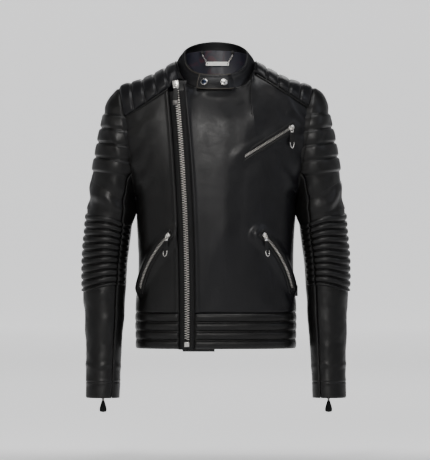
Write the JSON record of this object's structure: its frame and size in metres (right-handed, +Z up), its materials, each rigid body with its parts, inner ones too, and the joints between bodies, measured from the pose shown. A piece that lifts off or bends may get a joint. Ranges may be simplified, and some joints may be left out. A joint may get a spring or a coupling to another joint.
{
  "type": "leather riding jacket",
  "caption": "Slim leather riding jacket with an asymmetric front zip, stand collar, quilted shoulders and hem, ribbed elbows and zipped pockets.",
  "frame": {"origin": "centre of the neck base, where a neck or a hanger holds the jacket", "axes": "+Z up out of the collar, -Y the jacket's front, +X the wearer's left"},
  "size_m": [0.596, 0.2329, 0.8357],
  "materials": {
    "leather": "soft, semi-gloss, smooth aniline grain",
    "lining_satin": "twill satin",
    "nickel": "polished nickel plate",
    "zip_tape": "woven tape",
    "label_cloth": "woven label, blank"
  },
  "bodies": {
    "torso": {"front_panel_left": "leather", "front_panel_right": "leather", "back_panel": "leather", "shoulder_yoke_left": "leather", "shoulder_yoke_right": "leather", "waistband_left": "leather", "waistband_right": "leather", "waistband_back": "leather", "collar_outer": "leather", "collar_facing": "leather", "press_studs": "nickel", "hanger_loops": "nickel", "linings": "lining_satin", "pocket_bags": "lining_satin", "zip_facing": "leather", "main_zip_tape": "zip_tape", "main_zip_chain": "nickel", "pocket_zip_tapes": "zip_tape", "pocket_zip_chains": "nickel", "side_label": "label_cloth", "sleeve_head_left": "leather", "upper_sleeve_left": "leather", "elbow_upper_left": "leather", "under_sleeve_left": "leather", "sleeve_head_right": "leather", "upper_sleeve_right": "leather", "elbow_upper_right": "leather", "under_sleeve_right": "leather"},
    "forearm_left": {"elbow_lower_left": "leather", "forearm_left": "leather", "under_forearm_left": "leather", "forearm_lining_left": "lining_satin", "cuff_zip_left_tape": "zip_tape", "cuff_zip_left_chain": "nickel"},
    "forearm_right": {"elbow_lower_right": "leather", "forearm_right": "leather", "under_forearm_right": "leather", "forearm_lining_right": "lining_satin", "cuff_zip_right_tape": "zip_tape", "cuff_zip_right_chain": "nickel"},
    "collar_tab": {"collar_tab": "leather", "press_stud_caps": "nickel"},
    "hanger_chain": {"hanger_chain": "nickel", "hanger_plate": "nickel"},
    "main_zip_slider": {"main_zip_slider": "nickel"},
    "main_zip_puller": {"main_zip_puller": "leather", "main_zip_puller_metal": "nickel"},
    "chest_zip_slider": {"chest_slider": "nickel"},
    "chest_zip_puller": {"chest_puller": "leather", "chest_puller_metal": "nickel"},
    "pocket_zip_left_slider": {"pocket_left_slider": "nickel"},
    "pocket_zip_left_puller": {"pocket_left_puller": "leather", "pocket_left_puller_metal": "nickel"},
    "pocket_zip_right_slider": {"pocket_right_slider": "nickel"},
    "pocket_zip_right_puller": {"pocket_right_puller": "leather", "pocket_right_puller_metal": "nickel"},
    "cuff_zip_left_slider": {"cuff_zip_left_slider": "nickel"},
    "cuff_zip_left_puller": {"cuff_zip_left_puller": "leather"},
    "cuff_zip_right_slider": {"cuff_zip_right_slider": "nickel"},
    "cuff_zip_right_puller": {"cuff_zip_right_puller": "leather"}
  },
  "joints": [
    {"name": "elbow_bend_left", "type": "hinge", "parent": "torso", "child": "forearm_left", "pos_m": [0.246, -0.0605, -0.405], "axis": [-1, 0, 0], "range_deg": [0, 80]},
    {"name": "elbow_bend_right", "type": "hinge", "parent": "torso", "child": "forearm_right", "pos_m": [-0.246, -0.0605, -0.405], "axis": [-1, 0, 0], "range_deg": [0, 80]},
    {"name": "main_zip_run", "type": "hinge", "parent": "torso", "child": "main_zip_slider", "pos_m": [-1.35015, 2.13985, -0.40912], "axis": [0.8679, 0.4959, 0.03], "range_deg": [0, 12.22]},
    {"name": "chest_zip_run", "type": "hinge", "parent": "torso", "child": "chest_zip_slider", "pos_m": [0.02691, 0.46018, -0.2186], "axis": [0.5258, 0, -0.8506], "range_deg": [0, 12.01]},
    {"name": "pocket_zip_left_run", "type": "hinge", "parent": "torso", "child": "pocket_zip_left_slider", "pos_m": [-0.09272, -0.01395, -0.52643], "axis": [0.0689, 0.8978, 0.4349], "range_deg": [0, 28.94]},
    {"name": "pocket_zip_right_run", "type": "hinge", "parent": "torso", "child": "pocket_zip_right_slider", "pos_m": [0.09272, -0.01395, -0.52643], "axis": [0.0689, -0.8978, -0.4349], "range_deg": [0, 28.94]},
    {"name": "cuff_zip_left_run", "type": "slide", "parent": "forearm_left", "child": "cuff_zip_left_slider", "axis": [-0.0202, 0.1434, 0.9895], "range_m": [0, 0.1124]},
    {"name": "cuff_zip_right_run", "type": "slide", "parent": "forearm_right", "child": "cuff_zip_right_slider", "axis": [0.0202, 0.1434, 0.9895], "range_m": [0, 0.1124]},
    {"name": "main_zip_puller_swing", "type": "hinge", "parent": "main_zip_slider", "child": "main_zip_puller", "pos_m": [-0.09084, -0.09291, -0.03553], "axis": [-0.9857, 0.1686, 0], "range_deg": [0, 140]},
    {"name": "chest_zip_puller_swing", "type": "hinge", "parent": "chest_zip_slider", "child": "chest_zip_puller", "pos_m": [0.16881, -0.08724, -0.13123], "axis": [-0.9622, -0.2724, 0], "range_deg": [0, 140]},
    {"name": "pocket_zip_left_puller_swing", "type": "hinge", "parent": "pocket_zip_left_slider", "child": "pocket_zip_left_puller", "pos_m": [0.10979, -0.10936, -0.37224], "axis": [-0.8692, -0.4944, 0], "range_deg": [0, 80]},
    {"name": "pocket_zip_right_puller_swing", "type": "hinge", "parent": "pocket_zip_right_slider", "child": "pocket_zip_right_puller", "pos_m": [-0.10979, -0.10936, -0.37224], "axis": [-0.8692, 0.4944, 0], "range_deg": [0, 80]},
    {"name": "cuff_zip_left_puller_swing", "type": "hinge", "parent": "cuff_zip_left_slider", "child": "cuff_zip_left_puller", "pos_m": [0.25391, 0.00963, -0.73192], "axis": [1, -0.003, 0], "range_deg": [0, 120]},
    {"name": "cuff_zip_right_puller_swing", "type": "hinge", "parent": "cuff_zip_right_slider", "child": "cuff_zip_right_puller", "pos_m": [-0.25391, 0.00963, -0.73192], "axis": [1, 0.003, 0], "range_deg": [0, 120]},
    {"name": "collar_tab_open", "type": "hinge", "parent": "torso", "child": "collar_tab", "pos_m": [0.03689, -0.08413, -0.04615], "axis": [-0.1623, 0.4064, 0.8992], "range_deg": [0, 100]},
    {"name": "hanger_swing", "type": "hinge", "parent": "torso", "child": "hanger_chain", "pos_m": [0.004, 0.046, 0.034], "axis": [-1, 0, 0], "range_deg": [0, 80]}
  ]
}
